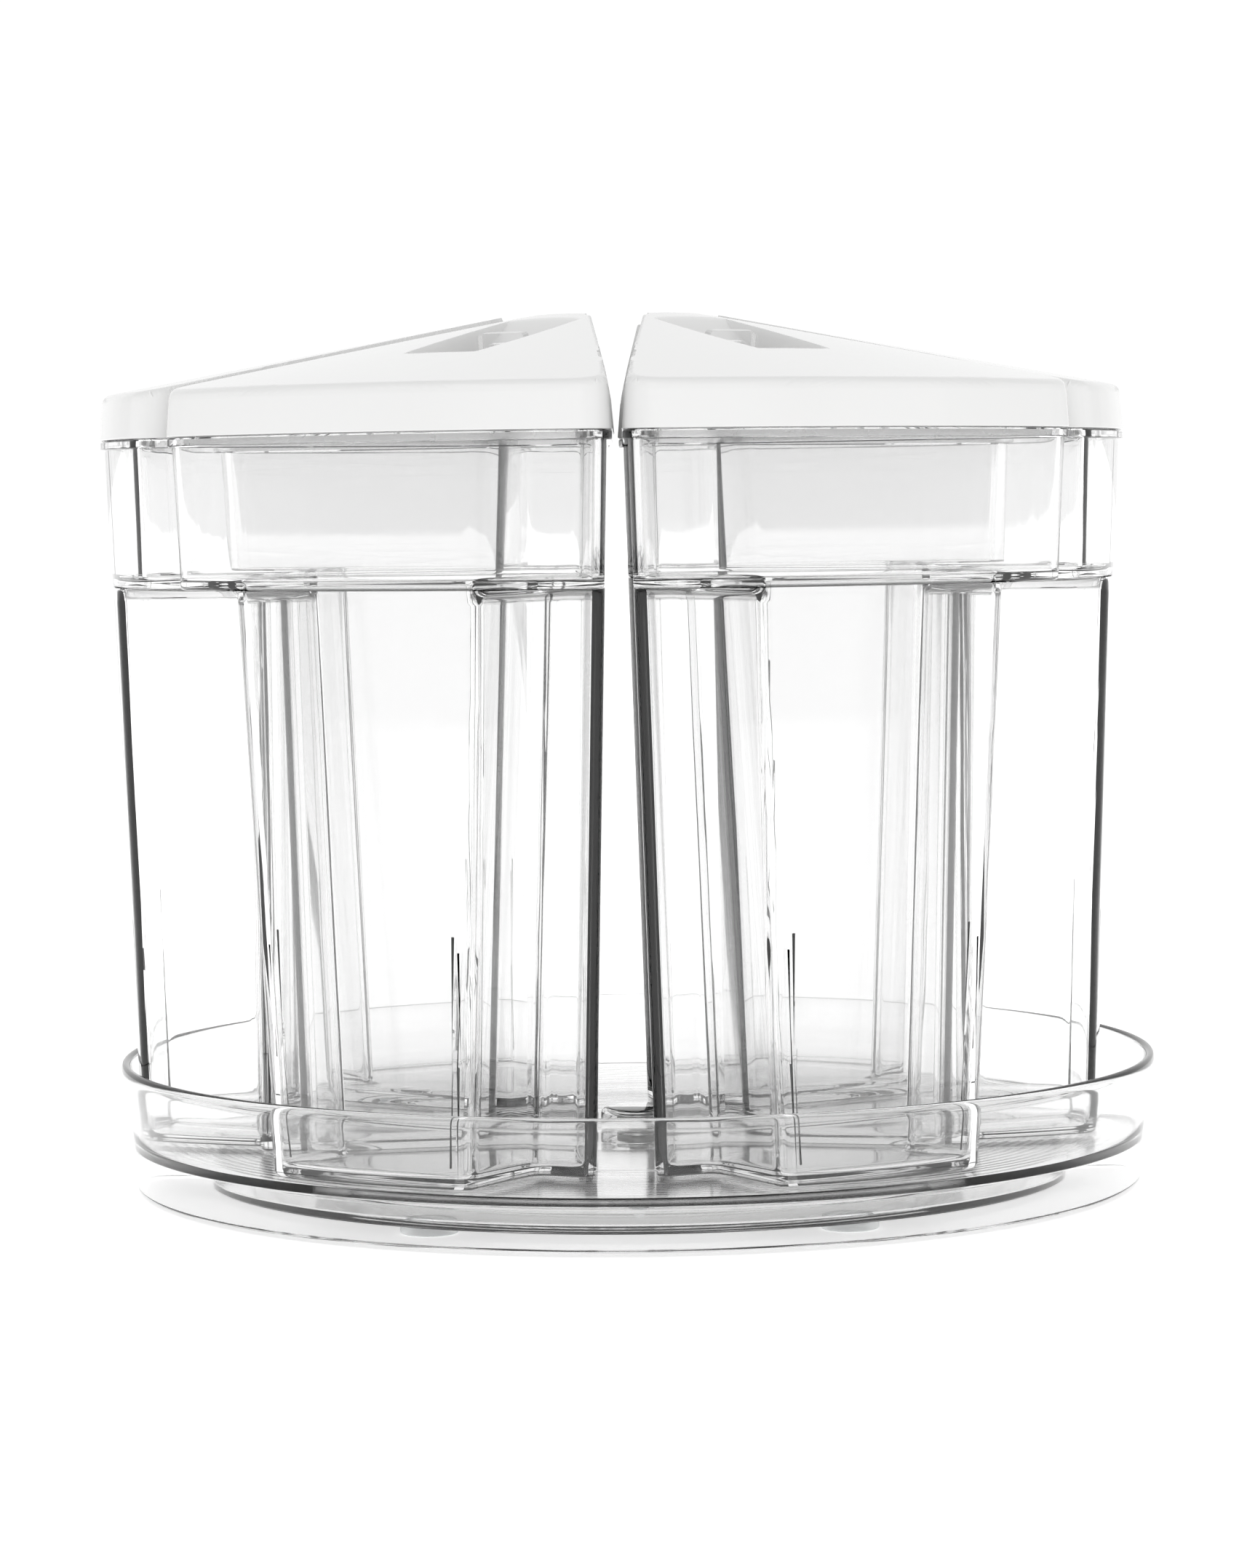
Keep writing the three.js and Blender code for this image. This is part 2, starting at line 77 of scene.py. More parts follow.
# Lid
LID_BOTTOM = 218.4
SKIRT_TOP = 230.6
CONE_SLOPE = 0.19
CONE_FOOT = 152.0
LID_RADIUS = 149.8
LID_GAP = 1.1
LID_TIP = 27.5
LID_OUTER_ROUND = 10.5
LID_TIP_ROUND = 6.5
RIM_ROUNDING = 2.2  # between the skirt and the top
CREST_SOFTNESS = 0.3  # rounds the edges between the top's surfaces
INNER = 9  # marks a mesh point well inside a lid's outline
FLANK_SLOPE = 0.25
TIP_SLOPE = 0.15
LEAN_START = 0.9  # the leaning faces start this far inside the skirt's lower edge
SCOOP = (69.2, 12.6, 53.0, 8.0)  # centre, half width, radius, depth


# ---- Small helpers ----
def linear(hex_colour):
    """An sRGB hex colour as linear RGBA."""
    parts = [int(hex_colour[i:i + 2], 16) / 255 for i in (1, 3, 5)]
    return (*[c / 12.92 if c <= 0.04045 else ((c + 0.055) / 1.055) ** 2.4 for c in parts], 1.0)


def node(tree, kind, settings=None, **inputs):
    """Adds a node. Settings are its properties; inputs are sockets by name, as values or as outputs to link."""
    made = tree.nodes.new(kind)
    for key, value in (settings or {}).items():
        setattr(made, key, value)
    for key, value in inputs.items():
        index = int(key[1:]) if key[0] == "i" and key[1:].isdigit() else key.replace("_", " ")
        socket = made.inputs[index]
        if isinstance(value, bpy.types.NodeSocket):
            tree.links.new(value, socket)
        else:
            socket.default_value = value
    return made


def ramp(tree, factor, stops):
    """A colour ramp through (position, grey value) stops."""
    made = node(tree, "ShaderNodeValToRGB", Fac=factor)
    elements = made.color_ramp.elements
    while len(elements) < len(stops):
        elements.new(0.5)
    for element, (position, value) in zip(elements, stops):
        element.position = position
        element.color = (value, value, value, 1)
    return made.outputs["Color"]


def new_material(name):
    made = bpy.data.materials.new(name)
    made.use_nodes = True
    made.node_tree.nodes.clear()
    return made, made.node_tree


def finish_material(made, tree, shader):
    output = node(tree, "ShaderNodeOutputMaterial")
    tree.links.new(shader.outputs["BSDF"], output.inputs["Surface"])
    return made


def noise(tree, scale, stretch=(1, 1, 1), detail=3.0):
    """Fractal noise in the object's own space, stretched along its axes."""
    place = node(tree, "ShaderNodeTexCoord")
    mapped = node(tree, "ShaderNodeMapping", Vector=place.outputs["Object"], Scale=stretch)
    made = node(tree, "ShaderNodeTexNoise", Vector=mapped.outputs["Vector"], Scale=scale, Detail=detail)
    return made.outputs["Fac"]


def bump(tree, height, strength, distance):
    made = node(tree, "ShaderNodeBump", Height=height, Strength=strength, Distance=distance)
    return made.outputs["Normal"]


# ---- Materials ----
def clear_styrene(name, colour, ior, gloss):
    """Injection-moulded clear SAN: polished faces, faint vertical flow lines and a slightly uneven gloss."""
    made, tree = new_material(name)
    flow = noise(tree, 14, (1, 1, 0.06), 2)
    shader = node(tree, "ShaderNodeBsdfPrincipled", Base_Color=linear(colour), IOR=ior,
                  Transmission_Weight=1.0, Roughness=ramp(tree, flow, [(0.3, gloss[0]), (0.8, gloss[1])]),
                  Normal=bump(tree, flow, 0.12, 0.0006))
    return finish_material(made, tree, shader)


def gloss_white():
    """Gloss white polypropylene: high mould polish with slight orange peel."""
    made, tree = new_material("gloss_white_PP")
    peel = noise(tree, 160, detail=1)
    cloud = noise(tree, 7)
    shader = node(tree, "ShaderNodeBsdfPrincipled", IOR=1.49, Coat_Weight=0.25, Coat_Roughness=0.06,
                  Roughness=ramp(tree, cloud, [(0.3, 0.14), (0.75, 0.2)]),
                  Normal=bump(tree, peel, 0.015, 0.0002))
    tint = node(tree, "ShaderNodeMixRGB", Fac=cloud, Color1=linear("#DFDFDE"), Color2=linear("#E3E3E3"))
    tree.links.new(tint.outputs["Color"], shader.inputs["Base Color"])
    return finish_material(made, tree, shader)


def satin_white_moulding():
    """Satin white moulded plastic of the hidden pieces: fine spark-eroded texture."""
    made, tree = new_material("satin_white_moulding")
    grain = noise(tree, 900, detail=2)
    shader = node(tree, "ShaderNodeBsdfPrincipled", Base_Color=linear("#F4F4F2"), IOR=1.49,
                  Roughness=ramp(tree, grain, [(0.3, 0.4), (0.7, 0.5)]),
                  Normal=bump(tree, grain, 0.2, 0.0002))
    return finish_material(made, tree, shader)


def frosted_liner():
    """Natural polypropylene of the lid liners: milky, light passes through it blurred."""
    made, tree = new_material("frosted_natural_PP")
    milk = noise(tree, 45)
    shader = node(tree, "ShaderNodeBsdfPrincipled", Base_Color=linear("#FEFEFE"), IOR=1.18,
                  Transmission_Weight=0.92, Roughness=ramp(tree, milk, [(0.3, 0.2), (0.7, 0.3)]))
    return finish_material(made, tree, shader)


def soft_silicone():
    """Soft clear silicone seal, slightly cloudy with a dusty sheen."""
    made, tree = new_material("silicone_seal")
    dust = noise(tree, 120)
    shader = node(tree, "ShaderNodeBsdfPrincipled", Base_Color=linear("#FEFEFE"), IOR=1.12,
                  Transmission_Weight=0.96, Roughness=ramp(tree, dust, [(0.3, 0.15), (0.7, 0.3)]),
                  Normal=bump(tree, dust, 0.1, 0.0002))
    return finish_material(made, tree, shader)


def foot_silicone():
    """Cloudy non-slip silicone feet with a fine grain and scuffed patches."""
    made, tree = new_material("moulded_foot_silicone")
    grain = noise(tree, 700)
    scuff = noise(tree, 60)
    tint = node(tree, "ShaderNodeMixRGB", Fac=scuff, Color1=linear("#E4E6E6"), Color2=linear("#F0F1F1"))
    shader = node(tree, "ShaderNodeBsdfPrincipled", Base_Color=tint.outputs["Color"], IOR=1.41,
                  Transmission_Weight=0.5, Roughness=ramp(tree, scuff, [(0.3, 0.35), (0.7, 0.5)]),
                  Normal=bump(tree, grain, 0.3, 0.0003))
    return finish_material(made, tree, shader)


def ball_steel():
    """Polished bearing-steel balls with faint rolling marks."""
    made, tree = new_material("polished_ball_steel")
    marks = noise(tree, 500, (1, 1, 6))
    shader = node(tree, "ShaderNodeBsdfPrincipled", Base_Color=linear("#CFD2D4"), Metallic=1.0,
                  Roughness=ramp(tree, marks, [(0.3, 0.1), (0.7, 0.22)]))
    return finish_material(made, tree, shader)


CLEAR = clear_styrene("moulded_clear_SAN", "#F9F9F9", 1.52, (0.0, 0.03))
TRAY_CLEAR = clear_styrene("moulded_clear_tray_SAN", "#FEFEFE", 1.36, (0.02, 0.06))
PULL_CLEAR = clear_styrene("satin_clear_SAN", "#FEFEFE", 1.25, (0.15, 0.25))
GLOSS = gloss_white()
SATIN = satin_white_moulding()
SILICONE = soft_silicone()
FOOT = foot_silicone()
LINER = frosted_liner()
STEEL = ball_steel()


# ---- Outlines, in the wedge's own plane: x along its middle, y across ----
def path(corners):
    """A line through (x, y) or (x, y, radius) corners, its inner corners rounded."""
    points = [Vector(corners[0][:2])]
    for before, corner, after in zip(corners, corners[1:], corners[2:]):
        at = Vector(corner[:2])
        radius = corner[2] if len(corner) > 2 else 0
        if radius <= 0:
            points.append(at)
            continue
        back = (Vector(before[:2]) - at).normalized()
        ahead = (Vector(after[:2]) - at).normalized()
        half = back.angle(ahead) / 2
        centre = at + (back + ahead).normalized() * radius / math.sin(half)
        start = at + back * radius / math.tan(half) - centre
        end = at + ahead * radius / math.tan(half) - centre
        for k in range(CORNER_STEPS + 1):
            blend = k / CORNER_STEPS
            points.append(centre + (start * (1 - blend) + end * blend).normalized() * radius)
    points.append(Vector(corners[-1][:2]))
    return points


def resample(points, count):
    """count + 1 points, evenly along a line."""
    lengths = [0.0]
    for a, b in zip(points, points[1:]):
        lengths.append(lengths[-1] + (b - a).length)
    made, at = [], 0
    for k in range(count + 1):
        target = lengths[-1] * k / count
        while at < len(points) - 2 and lengths[at + 1] < target:
            at += 1
        span = lengths[at + 1] - lengths[at]
        share = (target - lengths[at]) / span if span > 1e-9 else 0
        made.append(points[at].lerp(points[at + 1], min(1.0, share)))
    return made


def flank(x, gap):
    """Half the wedge's width at x, less the gap square to its edge."""
    return x * math.tan(HALF_ANGLE) - gap / math.cos(HALF_ANGLE)


def arc(radius, start, end, count):
    """Points on a circle about the set's centre between two lateral places."""
    a, b = math.asin(start / radius), math.asin(end / radius)
    angles = [a + (b - a) * k / count for k in range(count + 1)]
    return [(radius * math.cos(t), radius * math.sin(t)) for t in angles]


STEPS = (14, 26, 26, 10)  # points along each stretch of half an outline


def half_wedge(radius, gap, tip, outer_round, tip_round):
    """Half the plain wedge outline, from its inner end round to its outer middle."""
    angle = HALF_ANGLE - math.asin(gap / radius)
    corner = (radius * math.cos(angle), radius * math.sin(angle), outer_round)
    inner = path([(tip, 0), (tip, flank(tip, gap), tip_round), (SPLIT, flank(SPLIT, gap))])
    rest = arc(radius, radius * math.sin(angle - 1.7 * outer_round / radius), LATERAL, 12)
    outer = path([(SPLIT, flank(SPLIT, gap)), corner, *rest])
    return (resample(inner, STEPS[0])[:-1] + resample(outer, STEPS[1] + STEPS[2])[:-1]
            + resample([Vector(p) for p in arc(radius, LATERAL, 0, 12)], STEPS[3]))


def whole(half):
    """Mirrors half an outline into a closed loop."""
    return [(p.x, p.y) for p in half] + [(p.x, -p.y) for p in reversed(half[1:-1])]


def body_numbers(z, inset):
    """A container's plain wedge at a height, moved in by inset."""
    rise = z - BOTTOM
    return {
        "radius": OUTER_RADIUS + OUTER_DRAFT * rise - inset,
        "gap": SIDE_GAP - SIDE_DRAFT * rise + inset,
        "tip": TIP_DISTANCE - TIP_DRAFT * rise + inset,
        "outer_round": OUTER_ROUND - inset,
        "tip_round": max(1, TIP_ROUND - inset),
    }


def body_wedge(z, inset):
    return whole(half_wedge(**body_numbers(z, inset)))


def grip_outline(z, inset, spread=0.0):
    """The wedge with its outer corners cut back, which leaves the band. spread is how far the cut closes."""
    n = body_numbers(z, inset)
    radius, gap, tip = n["radius"], n["gap"], n["tip"]
    band = BAND_HALF_WIDTH + BAND_DRAFT * (z - BOTTOM) - inset + spread
    notch = NOTCH - inset + spread
    split, lateral = SPLIT - inset, LATERAL - inset - 3
    middle = (notch + radius) / 2
    front = math.sqrt(radius ** 2 - band ** 2)
    inner = path([(tip, 0), (tip, flank(tip, gap), n["tip_round"]), (split, flank(split, gap))])
    back = path([(split, flank(split, gap)), (notch, flank(notch, gap), max(0.8, 2.5 - inset)),
                 (notch, band, 3 + inset), (middle, band)])
    side = path([(middle, band), (front, band, max(0.8, 3.2 - inset)), *arc(radius, band - 5, lateral, 4)])
    half = (resample(inner, STEPS[0])[:-1] + resample(back, STEPS[1])[:-1] + resample(side, STEPS[2])[:-1]
            + resample([Vector(p) for p in arc(radius, lateral, 0, 12)], STEPS[3]))
    return whole(half)


# ---- Meshes ----
def skin(name, loops, closed=False):
    """A mesh over (z, outline) loops with equal point counts; its ends are capped unless it closes on itself."""
    work = bmesh.new()
    rings = [[work.verts.new((x * MM, y * MM, z * MM)) for x, y in outline] for z, outline in loops]
    count = len(rings[0])
    for low, high in zip(rings, rings[1:] + (rings[:1] if closed else [])):
        for i in range(count):
            j = (i + 1) % count
            work.faces.new((low[i], low[j], high[j], high[i]))
    if not closed:
        work.faces.new(list(reversed(rings[0])))
        work.faces.new(rings[-1])
    return to_mesh(name, work)


def to_mesh(name, work):
    bmesh.ops.recalc_face_normals(work, faces=work.faces)
    for face in work.faces:
        face.smooth = True
    mesh = bpy.data.meshes.new(name)
    work.to_mesh(mesh)
    work.free()
    mesh.set_sharp_from_angle(angle=math.radians(40))
    return mesh


def add_piece(name, mesh, material, body, replaced, turn=0.0, shift=0.0):
    """Places a mesh, turned about the set's centre, on a body in place of a CAD node."""
    own = mesh.copy()
    own.name = name
    own.transform(Matrix.Translation((shift * MM, 0, 0)) @ Matrix.Rotation(turn, 4, "Z"))
    own.materials.append(material)
    made = bpy.data.objects.new(name, own)
    bpy.context.scene.collection.objects.link(made)
    normals = made.modifiers.new("weighted_normals", "WEIGHTED_NORMAL")
    normals.keep_sharp = True
    normals.weight = 90
    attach(made, body)
    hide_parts(replaced)
    return made


def side_levels(inset):
    """Levels of a container's skin from its foot to below its rim."""
    foot = 1.8 if inset == 0 else 2.6
    base = BOTTOM + inset
    levels = []
    for k in range(5):
        t = math.pi / 2 * k / 4
        levels.append((base + foot * (1 - math.cos(t)), inset + foot * (1 - math.sin(t)), 0.0))
    ledge = LEDGE + inset
    corner = LEDGE_ROUND - inset
    low, high = base + foot + 0.8, ledge - corner - 0.8
    levels += [(low + (high - low) * k / 5, inset, 0.0) for k in range(6)]
    for k in range(8):
        t = math.pi / 2 * k / 7
        levels.append((ledge - corner * (1 - math.sin(t)), inset, corner * (1 - math.cos(t))))
    loops = [(z, grip_outline(z, i, spread)) for z, i, spread in levels]
    edge = 1.0
    for k in range(4):
        t = math.pi / 2 * k / 3
        z = ledge + edge * (1 - math.cos(t))
        loops.append((z, body_wedge(z, inset + edge * (1 - math.sin(t)))))
    top = RIM - FLANGE if inset == 0 else RIM
    loops += [(z, body_wedge(z, inset)) for z in (ledge + edge + 0.8, ledge + 18, top - 1.2, top)]
    return loops, top


def container_mesh():
    """A thick-walled container, open at the top, with a flange round its rim."""
    outer, top = side_levels(0)
    inner, _ = side_levels(WALL)
    back = 0.3  # the flange stays this far inside the lid's outline
    rim = {"radius": LID_RADIUS - back, "gap": LID_GAP + back, "tip": LID_TIP + back,
           "outer_round": 10.2, "tip_round": 6.2}

    def flange(z, inset):
        grown = {k: v + (inset if k in ("gap", "tip") else -inset) for k, v in rim.items()}
        return (z, whole(half_wedge(**grown)))

    flanges = [flange(top, 0.35), flange(top + 0.35, 0), flange(RIM - 0.35, 0), flange(RIM, 0.35)]
    loops = outer + flanges + [(RIM, body_wedge(RIM, WALL - 0.3)), (RIM - 0.3, body_wedge(RIM, WALL))]
    inner = inner[:-1]
    return skin("container_shell", loops + list(reversed(inner)))


def cone(r):
    """Height of the cone that all six lid tops share."""
    return SKIRT_TOP + CONE_SLOPE * (CONE_FOOT - r)


def soft_min(values, soft):
    """The least of some heights, with the edge between them rounded."""
    low = min(values)
    return low - soft * math.log(sum(math.exp((low - v) / soft) for v in values))


def scoop_height(x, y):
    """The scoop's floor: a round-bottomed channel square to the cone."""
    centre, half, radius, depth = SCOOP
    tilt = math.atan(CONE_SLOPE)
    cx = centre + (radius - depth) * math.sin(tilt)
    cz = cone(centre) + (radius - depth) * math.cos(tilt)
    reach = radius ** 2 - (x - cx) ** 2
    if reach <= 0:
        return 2 * cz
    steep = 7 * max(0.0, abs(y) - half + 1)
    return cz - math.sqrt(reach) + steep


def lid_height(x, y, edge):
    """Top surface of a lid at a point that lies edge millimetres inside its outline."""
    r = math.hypot(x, y)
    side = x * math.sin(HALF_ANGLE) - abs(y) * math.cos(HALF_ANGLE) - LID_GAP
    end = x - LID_TIP
    slopes = [cone(r), SKIRT_TOP + (side - LEAN_START) / FLANK_SLOPE, SKIRT_TOP + (end - LEAN_START) / TIP_SLOPE]
    top = soft_min(slopes, CREST_SOFTNESS)
    rounding = RIM_ROUNDING
    if edge < rounding:
        top = min(top, cone(r)) - rounding * (1 - math.sqrt(max(0, 1 - ((rounding - edge) / rounding) ** 2)))
    return soft_min([top, scoop_height(x, y)], CREST_SOFTNESS)


def lid_outline(inset):
    return whole(half_wedge(LID_RADIUS - inset, LID_GAP + inset, LID_TIP + inset,
                            max(1, LID_OUTER_ROUND - inset), max(1, LID_TIP_ROUND - inset)))


def lid_mesh():
    """Skirt, domed top with its finger scoop, and a closed underside."""
    shoulder = 1.0  # the skirt leans in by this much up to the top's edge
    rings = [0, 0.08, 0.25, 0.5, 0.85, 1.3, 1.8, 2.6]
    points, edges, distance = [], [], []
    for inset in rings:
        outline = lid_outline(shoulder + inset)
        if inset == 0:
            edges = [(i, (i + 1) % len(outline)) for i in range(len(outline))]
        points += outline
        distance += [inset] * len(outline)
    for k in range(90):
        x = LID_TIP + 7.5 + k * 1.25
        lean = LEAN_START + FLANK_SLOPE * (cone(x / math.cos(HALF_ANGLE)) - SKIRT_TOP)
        for aside in (-1.1, -0.5, -0.15, 0.15, 0.5, 1.1, 2.0):
            y = flank(x, LID_GAP + lean + aside)
            if lean + aside > shoulder + 2.75 and math.hypot(x, y) < LID_RADIUS - shoulder - 2.8:
                points += [(x, y), (x, -y)]
                distance += [INNER, INNER]
    crest = LID_TIP + LEAN_START + TIP_SLOPE * (cone(LID_TIP + 4) - SKIRT_TOP)
    for aside in (-0.6, -0.2, 0.2, 0.6, 1.2):
        for k in range(-6, 7):
            points.append((crest + aside, k * 1.4))
            distance.append(INNER)
    centre, half, _, _ = SCOOP
    for aside in (-2.2, -1.2, -0.8, -0.45, -0.25, -0.1, 0.05, 0.2, 0.5, 1.4):
        lateral = half + aside
        for k in range(64):
            x = 38 + k * 1.05
            if abs(lateral) < flank(x, LID_GAP + shoulder + 7.2):
                points += [(x, lateral), (x, -lateral)]
                distance += [INNER, INNER]
    step = 2.2
    for i in range(60):
        for j in range(-34, 35):
            x, y = 34 + i * step, j * step
            inside = min(x * math.sin(HALF_ANGLE) - abs(y) * math.cos(HALF_ANGLE) - LID_GAP,
                         x - LID_TIP, LID_RADIUS - math.hypot(x, y)) - shoulder
            lean = 3.2 + FLANK_SLOPE * (cone(math.hypot(x, y)) - SKIRT_TOP)
            if inside > 3 and inside > lean * (math.hypot(x, y) < 140) and x > crest + 2 and abs(abs(y) - half) > 2.2:
                points.append((x, y))
                distance.append(INNER)
    flat, _, faces, _, _, _ = delaunay_2d_cdt([Vector(p) for p in points], edges, [], 1, 1e-5)
    distances = dict(((round(p[0], 3), round(p[1], 3)), d) for p, d in zip(points, distance))
    work = bmesh.new()
    top = [work.verts.new((p.x * MM, p.y * MM,
                           lid_height(p.x, p.y, distances.get((round(p.x, 3), round(p.y, 3)), INNER)) * MM))
           for p in flat]
    for face in faces:
        work.faces.new([top[i] for i in face])
    by_place = dict(((round(p.x, 3), round(p.y, 3)), v) for p, v in zip(flat, top))
    ring = [by_place[(round(x, 3), round(y, 3))] for x, y in lid_outline(shoulder)]
    levels = [(SKIRT_TOP - 2.2, 0.82), (LID_BOTTOM + 0.5, 0.02), (LID_BOTTOM + 0.15, 0.12), (LID_BOTTOM, 0.45),
              (LID_BOTTOM, 1.9), (LID_BOTTOM + 0.3, 2.2), (LID_BOTTOM + 2.5, 2.2)]
    for z, inset in levels:
        below = [work.verts.new((x * MM, y * MM, z * MM)) for x, y in lid_outline(inset)]
        for i in range(len(ring)):
            j = (i + 1) % len(ring)
            work.faces.new((ring[i], below[i], below[j], ring[j]))
        ring = below
    work.faces.new(ring)
    return to_mesh("lid_shell", work)


def lathe_mesh(name, profile, segments):
    """A solid of revolution from a closed (radius, height) profile."""
    work = bmesh.new()
    rings = []
    for k in range(segments):
        t = 2 * math.pi * k / segments
        rings.append([work.verts.new((r * math.cos(t) * MM, r * math.sin(t) * MM, z * MM)) for r, z in profile])
    for a, b in zip(rings, rings[1:] + rings[:1]):
        for i in range(len(profile)):
            j = (i + 1) % len(profile)
            work.faces.new((a[i], b[i], b[j], a[j]))
    return to_mesh(name, work)


def tray_mesh():
    """Clear tray: rolled lip, rounded skirt foot and fine concentric ridges on its floor."""
    outside = [(146.6, 1.3), (147.3, 1.25), (147.9, 1.7), (148.05, 2.6), (148.3, 9.9), (149.1, 17.9), (150, 25.2),
               (151, 31.2), (151.6, 33.6), (151.95, 34.9), (152, 36.1), (151.75, 37.0), (151.2, 37.5), (150.4, 37.55),
               (149.6, 37.2), (149.1, 36.3), (148.6, 34.0), (148.2, 31.2), (147.8, 25.2), (147.0, 18.6), (146.8, 16.6),
               (146.5, 15.9), (145.9, 15.7)]
    ridges = []
    r = 142.0
    while r > 30:
        ridges += [(r, 15.7), (r - 0.8, 15.62), (r - 1.6, 15.7), (r - 2.4, 15.7)]
        r -= 3.2
    floor = ridges + [(14, 15.7), (3.7, 15.7), (3.4, 15.4), (3.4, 13.7)]
    under = [(86, 13.5), (86, 10.6), (96, 10.6), (96, 13.5), (146.0, 13.5), (146.3, 13.1), (146.1, 6), (146.0, 2)]
    return lathe_mesh("tray_shell", outside + floor + under, 192)


def base_mesh():
    """Still base ring: flat plate with a ball track, a hub and an upright rim, all edges rounded."""
    return lathe_mesh("base_shell", [
        (3.3, 3.1), (3.6, 2.8), (124.4, 2.8), (125, 3.4), (125, 8.9), (124.7, 9.4), (123.9, 9.5), (123.1, 9.4),
        (122.8, 8.9), (122.8, 5.6), (122.2, 5.0), (96, 5.0), (96, 6.3), (95.7, 6.6), (94.4, 6.6), (94.0, 6.2),
        (93.2, 5.1), (88.8, 5.1), (88.0, 6.2), (87.6, 6.6), (86.3, 6.6), (86, 6.3), (86, 5.0), (9.9, 5.0),
        (9.3, 5.6), (9.3, 12.1), (8.8, 12.6), (3.8, 12.6), (3.3, 12.1)], 144)


def cap_mesh():
    """Low domed cap over the pivot, with a rounded shoulder."""
    return lathe_mesh("cap_shell", [
        (0.01, 19.4), (8.8, 19.3), (9.6, 18.6), (9.6, 16.2), (9.8, 16.0), (10.8, 16.0), (11, 16.2), (11, 18.6),
        (10.7, 19.6), (10.0, 20.2), (8.5, 20.5), (4, 20.7), (0.01, 20.75)], 64)


def foot_mesh():
    """Round foot pad with a rounded edge and a shallow ring groove underneath."""
    return lathe_mesh("foot_pad", [
        (0.01, 0.3), (4.2, 0.3), (4.8, 0.0), (7.3, 0.0), (7.8, 0.2), (8.0, 0.7), (8.0, 2.0), (7.8, 2.4), (7.4, 2.5),
        (0.01, 2.5)], 40)


def ball_mesh():
    angles = [math.pi * k / 14 for k in range(15)]
    half_circle = [(BALL_RADIUS * math.sin(t), -BALL_RADIUS * math.cos(t)) for t in angles]
    return lathe_mesh("ball", [(max(r, 0.01), z) for r, z in half_circle], 24)


# ---- Assembly ----
def moved(mesh, x, y, z=0.0):
    mesh.transform(Matrix.Translation((x * MM, y * MM, z * MM)))
    return mesh


CONTAINER = container_mesh()
LID = lid_mesh()
add_piece("tray_moulding", tray_mesh(), TRAY_CLEAR, "tray", "tray")
add_piece("base_moulding", base_mesh(), TRAY_CLEAR, "base", "base_plate")
add_piece("centre_cap_dome", cap_mesh(), CLEAR, "tray", "centre_cap")
for i in range(FEET):
    turn = math.pi / 3 * i
    pad = moved(foot_mesh(), FOOT_DISTANCE * math.cos(turn), FOOT_DISTANCE * math.sin(turn))
    add_piece(f"foot_pad_{i + 1}", pad, FOOT, "base", f"foot_{i + 1}")
for i in range(BALLS):
    turn = math.pi / 6 * i
    ball = moved(ball_mesh(), RACE_RADIUS * math.cos(turn), RACE_RADIUS * math.sin(turn), BALL_HEIGHT)
    add_piece(f"steel_ball_{i + 1}", ball, STEEL, "cage", f"ball_{i + 1}")
for i in range(1, WEDGES + 1):
    turn = 2 * HALF_ANGLE * (i - 1)
    add_piece(f"container_shell_{i}", CONTAINER, CLEAR, f"container_body_{i}",
              f"container_{i}", turn, WEDGE_SHIFTS[i - 1])
    add_piece(f"lid_shell_{i}", LID, GLOSS, f"lid_body_{i}", f"lid_{i}", turn, WEDGE_SHIFTS[i - 1])

for name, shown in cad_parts.items():
    kind = name.rstrip("0123456789").rstrip("_")
    finish = {"gasket": SILICONE, "lid_liner": LINER, "foot": FOOT, "ball": STEEL, "ball_cage": SATIN,
              "pivot_pin": SATIN, "pivot_clip": SATIN, "lid_pull": PULL_CLEAR}.get(kind, CLEAR)
    for place in shown.material_slots:
        place.material = finish
    if kind == "lid_pull":
        rounding = shown.modifiers.new("rounded_edges", "BEVEL")
        rounding.width = 0.4 * MM
        rounding.segments = 3


# ---- Studio ----
def area_light(name, place, target, size, power):
    lamp = bpy.data.lights.new(name, "AREA")
    lamp.shape = "RECTANGLE"
    lamp.size, lamp.size_y = size
    lamp.energy = power
    made = bpy.data.objects.new(name, lamp)
    made.location = place
    made.rotation_euler = (Vector(target) - Vector(place)).to_track_quat("-Z", "Y").to_euler()
    bpy.context.scene.collection.objects.link(made)


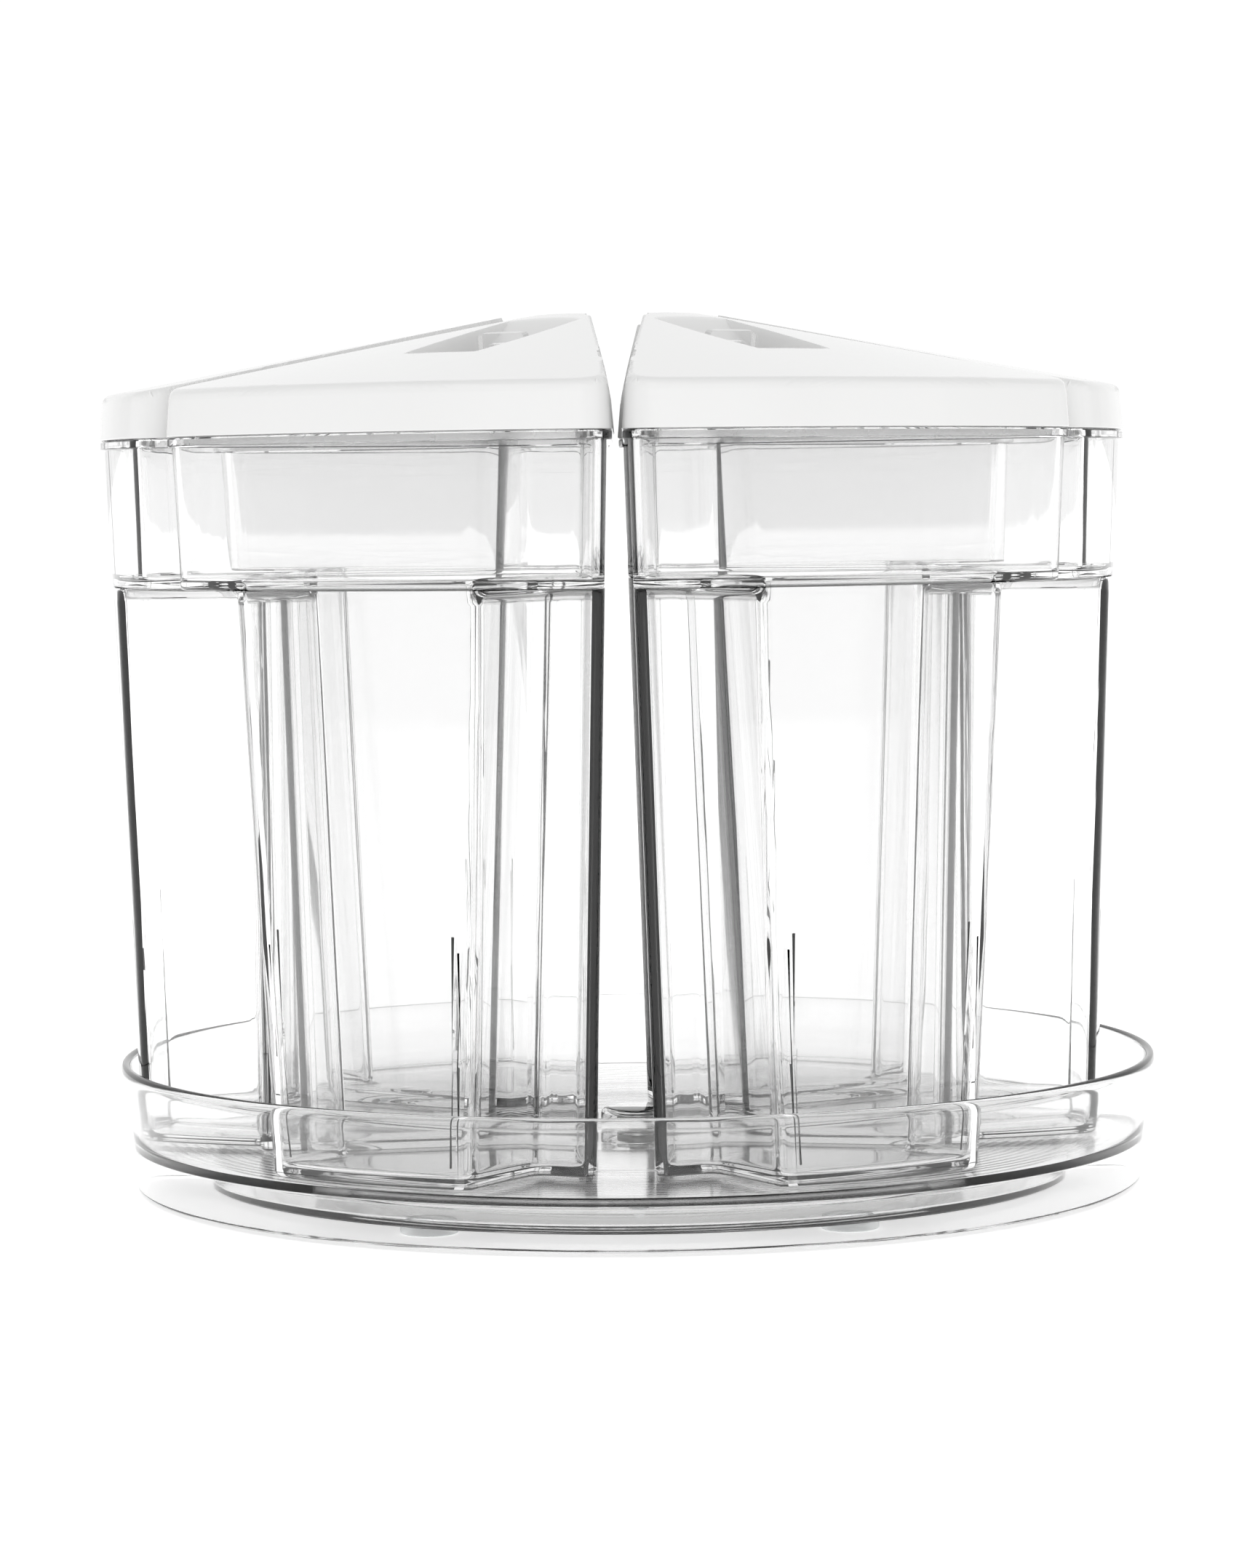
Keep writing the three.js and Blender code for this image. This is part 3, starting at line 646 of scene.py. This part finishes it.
def studio():
    floor_work = bmesh.new()
    bmesh.ops.create_grid(floor_work, x_segments=8, y_segments=8, size=30)
    floor_mesh = to_mesh("floor", floor_work)
    floor = bpy.data.objects.new("studio_floor", floor_mesh)
    bpy.context.scene.collection.objects.link(floor)
    made, tree = new_material("studio_paper")
    fibre = noise(tree, 40)
    shader = node(tree, "ShaderNodeBsdfPrincipled", Base_Color=linear("#FCFCFC"),
                  Roughness=ramp(tree, fibre, [(0.3, 0.8), (0.7, 0.9)]),
                  Emission_Color=(1, 1, 1, 1), Emission_Strength=0.55)
    shader.inputs["Specular IOR Level"].default_value = 0.1
    floor_mesh.materials.append(finish_material(made, tree, shader))

    world = bpy.data.worlds.new("studio_world")
    bpy.context.scene.world = world
    world.use_nodes = True
    tree = world.node_tree
    tree.nodes.clear()
    place = node(tree, "ShaderNodeTexCoord")
    split = node(tree, "ShaderNodeSeparateXYZ", Vector=place.outputs["Generated"])
    sides = node(tree, "ShaderNodeMath", {"operation": "ABSOLUTE"}, i0=split.outputs["X"])
    level = ramp(tree, sides.outputs["Value"], [(0.0, 1.0), (0.45, 1.0), (0.72, 0.72), (1.0, 0.9)])
    up = ramp(tree, split.outputs["Z"], [(0.0, 1.0), (0.4, 1.0), (0.75, 0.85), (1.0, 0.85)])
    both = node(tree, "ShaderNodeMixRGB", {"blend_type": "MULTIPLY"}, Fac=1.0, Color1=level, Color2=up)
    sky = node(tree, "ShaderNodeBackground", Color=both.outputs["Color"], Strength=1.05)
    output = node(tree, "ShaderNodeOutputWorld")
    tree.links.new(sky.outputs["Background"], output.inputs["Surface"])
    area_light("key_softbox", (-0.9, -1.1, 1.5), (0, 0, 0.15), (1.2, 0.9), 1.5)
    area_light("fill_softbox", (1.3, -0.8, 0.9), (0, 0, 0.12), (0.9, 1.2), 0.8)


def camera():
    lens = bpy.data.cameras.new("camera")
    lens.sensor_fit = "HORIZONTAL"
    lens.sensor_width = 36
    lens.lens = 129.4
    made = bpy.data.objects.new("camera", lens)
    pitch, roll, yaw = math.radians(3.56), math.radians(-0.67), math.radians(0.09)
    made.matrix_world = (Matrix.Translation((0, -1.3279, 0.1988)) @ Matrix.Rotation(yaw, 4, "Z")
                         @ Matrix.Rotation(math.pi / 2 - pitch, 4, "X") @ Matrix.Rotation(roll, 4, "Z"))
    bpy.context.scene.collection.objects.link(made)
    bpy.context.scene.camera = made


studio()
camera()
bpy.context.scene.view_settings.view_transform = "Standard"
bpy.context.scene.cycles.max_bounces = 32
bpy.context.scene.cycles.transmission_bounces = 32
bpy.context.scene.cycles.transparent_max_bounces = 16
